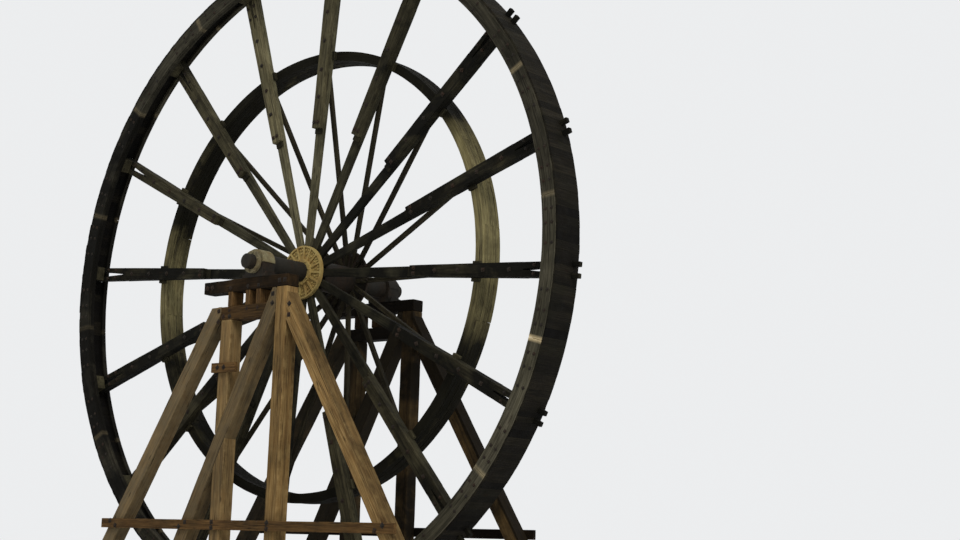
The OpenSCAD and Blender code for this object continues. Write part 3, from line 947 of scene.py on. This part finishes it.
# The rear tower stands in the wheel's shade, painted in as this much more stain
REAR_PAINTED_SHADE = 0.76
# Painted light turns the right post paler from this far under its top, over this length
POST_LIT_L = 0.8
POST_LIT_RUN = 0.5
# The right leg turns dark from this far inside its outer edge, over this width
LEG_EDGE_W = 0.07
LEG_EDGE_RUN = 0.06
# Bolts where timbers cross: half the distance of a pair, how far some pairs are closer or aslant, and places
PAIR_APART = 0.12
CLOSER = 0.8
ASLANT = 0.5
POST_ASLANT = 0.6
TOWER_BOLT_SUNK = 0.004
FOOT_BOLT_DROP = 0.12
HEAD_BOLT_X = POST_SIDE + 0.1
HEAD_BOLTS = (0.12, 0.4)
LEFT_HEAD_BOLT_DROP = 0.36
TIE_BOLT_Z = TIE_Z + 0.09
CAP_BOLT_Z = POST_TOP + 0.16
CAP_BOLT_LEFT = -1.72
INNER_HEAD_BOLT_X = INNER_SIDE - 0.12
INNER_HEAD_BOLT_Z = INNER_HEAD + 0.3
STUD_BOLT_IN = 0.1
# Bolts of a bearing: places along the axle and across it, on the cap's ears and on the foot
BEARING_BOLT_Y = 0.13
EAR_BOLT_X = 0.285
FOOT_BOLT_X = 0.38


def outer_inside(head, z):
    """Place of the inner edge of an outer leg at a height, on the right side."""
    return POST_SIDE + (head - z) * math.tan(OUTER_RAKE)


def inner_left(z, back=INNER_ACROSS):
    """Place of the inner leg's left edge at a height, or of its middle when back is half its width."""
    return INNER_SIDE - back - (INNER_HEAD - z) * math.tan(INNER_RAKE)


def inner_edge(x, back):
    """Height of the inner leg's right edge at a place, or of its left edge when back is its width."""
    return INNER_HEAD - (INNER_SIDE - back - x) / math.tan(INNER_RAKE)


def tower_timbers(side, name, dark):
    """The timbers of one tower, with painted shade added to the stain where it is dark."""
    inside, outside = BENT_Y - TIMBER / 2, BENT_Y + TIMBER / 2
    on_face = (outside, outside + GIRT_T)
    posts = Bag(f"{name}_post_timbers", 71 + side)
    legs = Bag(f"{name}_leg_timbers", 75 + side)
    sills = Bag(f"{name}_sill_timber", 79 + side)
    beams = Bag(f"{name}_beam_timbers", 83 + side)
    studs = Bag(f"{name}_stud_timbers", 87 + side)
    girts = Bag(f"{name}_girt_boards", 91 + side)

    def square(bag, origin, along, aside, length, width, depth=(inside, outside),
               stain=0.0, fresh=0.0, **looks):
        """A timber in the plane of the bent, with its origin, length and width given there."""
        place = straight((origin[0] + BENT_SHIFT, 0, origin[1]), (along[0], 0, along[1]),
                         (aside[0], 0, aside[1]), (0, side, 0))
        # A dark tower's painted shade adds to the stain and dims the fresh patches
        stain = stain if callable(stain) else stain + dark
        timber(bag, place, length, width, depth, stain=stain, fresh=fresh * (1 - dark), **looks)

    def upright(bag, z, x, **looks):
        square(bag, (0, 0), (0, 1), (1, 0), z, x, **looks)

    def level(bag, x, z, **looks):
        square(bag, (0, 0), (1, 0), (0, 1), x, z, **looks)

    def raking(x, z, hand, rake, top, **looks):
        """A leg from the heel of its upright head cut down to the sill, cut level at a height."""
        along = np.array([math.sin(rake), -math.cos(rake)])
        normal = np.array([math.cos(rake), math.sin(rake)])

        def start(v):
            return np.maximum(-v * normal[0] / along[0], (top - z - v * normal[1]) / along[1])

        def end(v):
            return (TIMBER - z - v * normal[1]) / along[1]

        square(legs, (x, z), (hand * along[0], along[1]), (hand * normal[0], normal[1]), (start, end),
               (0, TIMBER), **HEAVY, **looks)

    def post_tone_and_light(u, v, w):
        return 0.42 + 0.4 * np.clip((u - POST_TOP + POST_LIT_L) / POST_LIT_RUN, 0, 1)

    def leg_stain_and_shade(u, v, w):
        return dark + 0.5 * np.clip((v - TIMBER + LEG_EDGE_W) / LEG_EDGE_RUN, 0, 1)

    left_post = (-POST_SIDE, -INNER_SIDE)
    upright(posts, (TIMBER, POST_TOP), (INNER_SIDE, POST_SIDE), tone=post_tone_and_light, stain=0.1, **HEAVY)
    upright(posts, (lambda v: inner_edge(v, INNER_ACROSS), TIE_Z), left_post,
            tone=0.5, stain=0.08, fresh=0.2, **HEAVY)
    upright(posts, (TIMBER, lambda v: inner_edge(v, 0)), left_post, tone=0.4, stain=0.14, fresh=0.2, **HEAVY)
    # The right leg's high tone is painted light, and the lower tones of the legs raking left are painted
    # shade
    raking(POST_SIDE, RIGHT_HEAD, 1, OUTER_RAKE, POST_TOP, tone=0.75, stain=leg_stain_and_shade)
    raking(-POST_SIDE, LEFT_HEAD, -1, OUTER_RAKE, TIE_TOP, tone=0.40, stain=0.2, fresh=0.55)
    raking(INNER_SIDE, INNER_HEAD, -1, INNER_RAKE, POST_TOP, tone=0.38, stain=0.4, fresh=0.4)
    level(beams, (-POST_SIDE, inner_left), (TIE_Z, TIE_TOP), tone=0.42, stain=0.42, **HEAVY)
    level(beams, (-CAP_LEFT, POST_SIDE), (POST_TOP, CAP_TOP), tone=0.3, stain=0.84, **HEAVY)
    for x in STUD_PLACES:
        square(studs, (x, 0), (0, 1), (1, 0), (TIE_TOP, POST_TOP), (-STUD_HALF, STUD_HALF),
               tone=0.55, stain=0.1)
    left, right = -outer_inside(LEFT_HEAD, TIMBER), outer_inside(RIGHT_HEAD, TIMBER)
    past = OUTER_ACROSS + SILL_END
    level(sills, (left - past, right + past), (0, TIMBER), across=4, chamfer=0.014, rough=0.006,
          tone=0.5, stain=0.2)
    left, right = -outer_inside(LEFT_HEAD, GIRT_Z), outer_inside(RIGHT_HEAD, GIRT_Z)
    past = OUTER_ACROSS + GIRT_END
    level(girts, (left - past, right + past), (GIRT_Z, GIRT_Z + GIRT_H), depth=on_face, tone=0.5, stain=0.15)
    level(girts, (CLEAT_X - CLEAT_L, CLEAT_X), (CLEAT_Z, CLEAT_Z + GIRT_H), depth=on_face,
          tone=0.6, stain=0.05)

    posts.build("stand", TOWER_WOOD, [f"{name}_posts"])
    legs.build("stand", TOWER_WOOD, [f"{name}_legs"])
    beams.build("stand", TIE_WOOD, [f"{name}_beams"])
    studs.build("stand", TIE_WOOD, [f"{name}_studs"])
    sills.build("stand", SILL_WOOD, [f"{name}_sills"])
    girts.build("stand", TIE_WOOD, [f"{name}_girts"])


def tower_bolts(side, name):
    """Bolts on the outer face of one tower, where its timbers cross."""
    bolts = Bag(f"{name}_tower_bolts", 95 + side)
    face = BENT_Y + TIMBER / 2

    def fix(x, z, proud=0.0, size=0.05):
        at = (x + BENT_SHIFT, side * (face + proud - TOWER_BOLT_SUNK), z)
        bolt(bolts, at, (0, side, 0), size, size * 1.2)

    for hand, head, drop in ((-1, LEFT_HEAD, LEFT_HEAD_BOLT_DROP), (1, RIGHT_HEAD, 0)):
        foot = outer_inside(head, TIMBER) + OUTER_ACROSS / 2
        at_girt = outer_inside(head, GIRT_MIDDLE) + OUTER_ACROSS / 2
        for dx in (-PAIR_APART, PAIR_APART):
            fix(hand * (foot + dx), TIMBER - FOOT_BOLT_DROP)
            fix(hand * (at_girt + dx), GIRT_MIDDLE + dx * ASLANT, GIRT_T)
            fix(hand * POST_MIDDLE, GIRT_MIDDLE + dx * POST_ASLANT, GIRT_T)
        for dz in HEAD_BOLTS:
            fix(hand * HEAD_BOLT_X, head + dz - drop)
            fix(hand * POST_MIDDLE, TIMBER - dz * 0.5)
    for dx in (-PAIR_APART, PAIR_APART):
        fix(-POST_MIDDLE + dx, CLEAT_Z + GIRT_H / 2, GIRT_T)
        fix(-POST_MIDDLE + dx, TIE_BOLT_Z)
        fix(POST_MIDDLE + dx * CLOSER, CAP_BOLT_Z)
        fix(INNER_HEAD_BOLT_X, INNER_HEAD_BOLT_Z + dx)
        fix(CAP_BOLT_LEFT + dx * CLOSER, CAP_BOLT_Z)
        fix(inner_left(GIRT_MIDDLE, INNER_ACROSS / 2) + dx, GIRT_MIDDLE + dx * ASLANT, GIRT_T)
        fix(inner_left(TIMBER, INNER_ACROSS / 2) + dx, TIMBER - FOOT_BOLT_DROP)
    for x in STUD_PLACES:
        fix(x, TIE_TOP - STUD_BOLT_IN, size=0.04)
        fix(x, POST_TOP + STUD_BOLT_IN, size=0.04)
    bolts.build("stand", BOLT_IRON)


def bearing_bolts(side, name):
    bolts = Bag(f"{name}_bearing_bolts", 99 + side)
    for dy in (-BEARING_BOLT_Y, BEARING_BOLT_Y):
        y = side * (BENT_Y + dy)
        for x in (-EAR_BOLT_X, EAR_BOLT_X):
            bolt(bolts, (x, y, HUB_Z + BEARING_EAR_T - SUNK), UPWARD, size=0.05, plate=0.036)
        for x in (-FOOT_BOLT_X, FOOT_BOLT_X):
            bolt(bolts, (x, y, CAP_TOP + BEARING_FOOT_T - SUNK), UPWARD, size=0.045, plate=0.036)
    bolts.build("stand", BOLT_IRON)


# Castings keep their CAD shape
CASTINGS = {
    "front_flange": PLATE_IRON, "rear_flange": HUB_IRON, "hub_barrel": HUB_IRON, "axle": SHADED_AXLE_IRON,
    "front_collar": LIT_COLLAR_IRON, "rear_collar": SHADED_AXLE_IRON,
    "front_bearing_block": SHADED_BEARING_IRON, "front_bearing_cap": LIT_CAP_IRON,
    "rear_bearing_block": SHADED_BEARING_IRON, "rear_bearing_cap": SHADED_BEARING_IRON}
WORN_EDGE = 0.006
WORN_FROM = math.radians(40)


def dress_castings():
    """Gives the castings their iron, and worn edges."""
    for node, material in CASTINGS.items():
        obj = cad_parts[node]
        obj.data.materials.clear()
        obj.data.materials.append(material)
        bevel = obj.modifiers.new("worn_edges", "BEVEL")
        bevel.width = WORN_EDGE
        bevel.segments = 2
        bevel.limit_method = "ANGLE"
        bevel.angle_limit = WORN_FROM
        bevel.harden_normals = False


# Stage
FLOOR_HALF = 200
FLOOR_COLOUR = (0.72, 0.72, 0.71, 1)
SKY_LIGHT = (0.95, 0.97, 1.0, 1)
SKY_STRENGTH = 0.75
BACKDROP = (0.84, 0.85, 0.86, 1)
SUN_STRENGTH = 1.4
SUN_WIDTH = 0.35
SUN_COLOUR = (1.0, 0.96, 0.9)
SUN_TURN = (math.radians(50), 0, math.radians(58))


def make_camera():
    data = bpy.data.cameras.new("camera")
    data.lens = LENS_MM
    data.sensor_width = SENSOR_MM
    data.clip_end = FARTHEST
    camera = bpy.data.objects.new("camera", data)
    back = CAMERA_RIGHT.cross(CAMERA_UP).normalized()
    up = back.cross(CAMERA_RIGHT).normalized()
    right = up.cross(back)
    camera.matrix_world = Matrix.Translation(CAMERA_PLACE) @ Matrix((right, up, back)).transposed().to_4x4()
    bpy.context.scene.collection.objects.link(camera)
    bpy.context.scene.camera = camera


def make_floor():
    mesh = bpy.data.meshes.new("floor")
    corners = ((-1, -1), (1, -1), (1, 1), (-1, 1))
    mesh.from_pydata([(x * FLOOR_HALF, y * FLOOR_HALF, 0) for x, y in corners], [], [(0, 1, 2, 3)])
    floor = bpy.data.objects.new("floor", mesh)
    bpy.context.scene.collection.objects.link(floor)
    material, _, surface = new_material("pale_floor")
    surface.inputs["Base Color"].default_value = FLOOR_COLOUR
    surface.inputs["Roughness"].default_value = 0.9
    mesh.materials.append(material)


def make_sky():
    """An even light, with a plain pale backdrop where the camera looks past the part."""
    world = bpy.data.worlds.new("studio")
    world.use_nodes = True
    tree = world.node_tree
    light = tree.nodes["Background"]
    light.inputs[0].default_value = SKY_LIGHT
    light.inputs[1].default_value = SKY_STRENGTH
    backdrop = tree.nodes.new("ShaderNodeBackground")
    backdrop.inputs[0].default_value = BACKDROP
    choose = tree.nodes.new("ShaderNodeMixShader")
    to_camera = tree.nodes.new("ShaderNodeLightPath").outputs["Is Camera Ray"]
    for source, socket in zip((to_camera, light.outputs[0], backdrop.outputs[0]), choose.inputs):
        tree.links.new(source, socket)
    tree.links.new(choose.outputs[0], tree.nodes["World Output"].inputs[0])
    bpy.context.scene.world = world


def make_sun():
    sun = bpy.data.objects.new("sun", bpy.data.lights.new("sun", "SUN"))
    sun.data.energy = SUN_STRENGTH
    sun.data.angle = SUN_WIDTH
    sun.data.color = SUN_COLOUR
    sun.rotation_euler = SUN_TURN
    bpy.context.scene.collection.objects.link(sun)


make_arms()
make_cheeks()
make_packing()
make_arm_bolts()
make_felloes()
make_sole()
make_rim_bolts()
make_drive_ring()
make_braces()
make_hub_bolts()
make_collar_bolts()
for side, name, dark in ((-1, "front", 0.0), (1, "rear", REAR_PAINTED_SHADE)):
    tower_timbers(side, name, dark)
    tower_bolts(side, name)
    bearing_bolts(side, name)
dress_castings()
make_camera()
make_floor()
make_sky()
make_sun()
bpy.context.scene.view_settings.view_transform = "Standard"
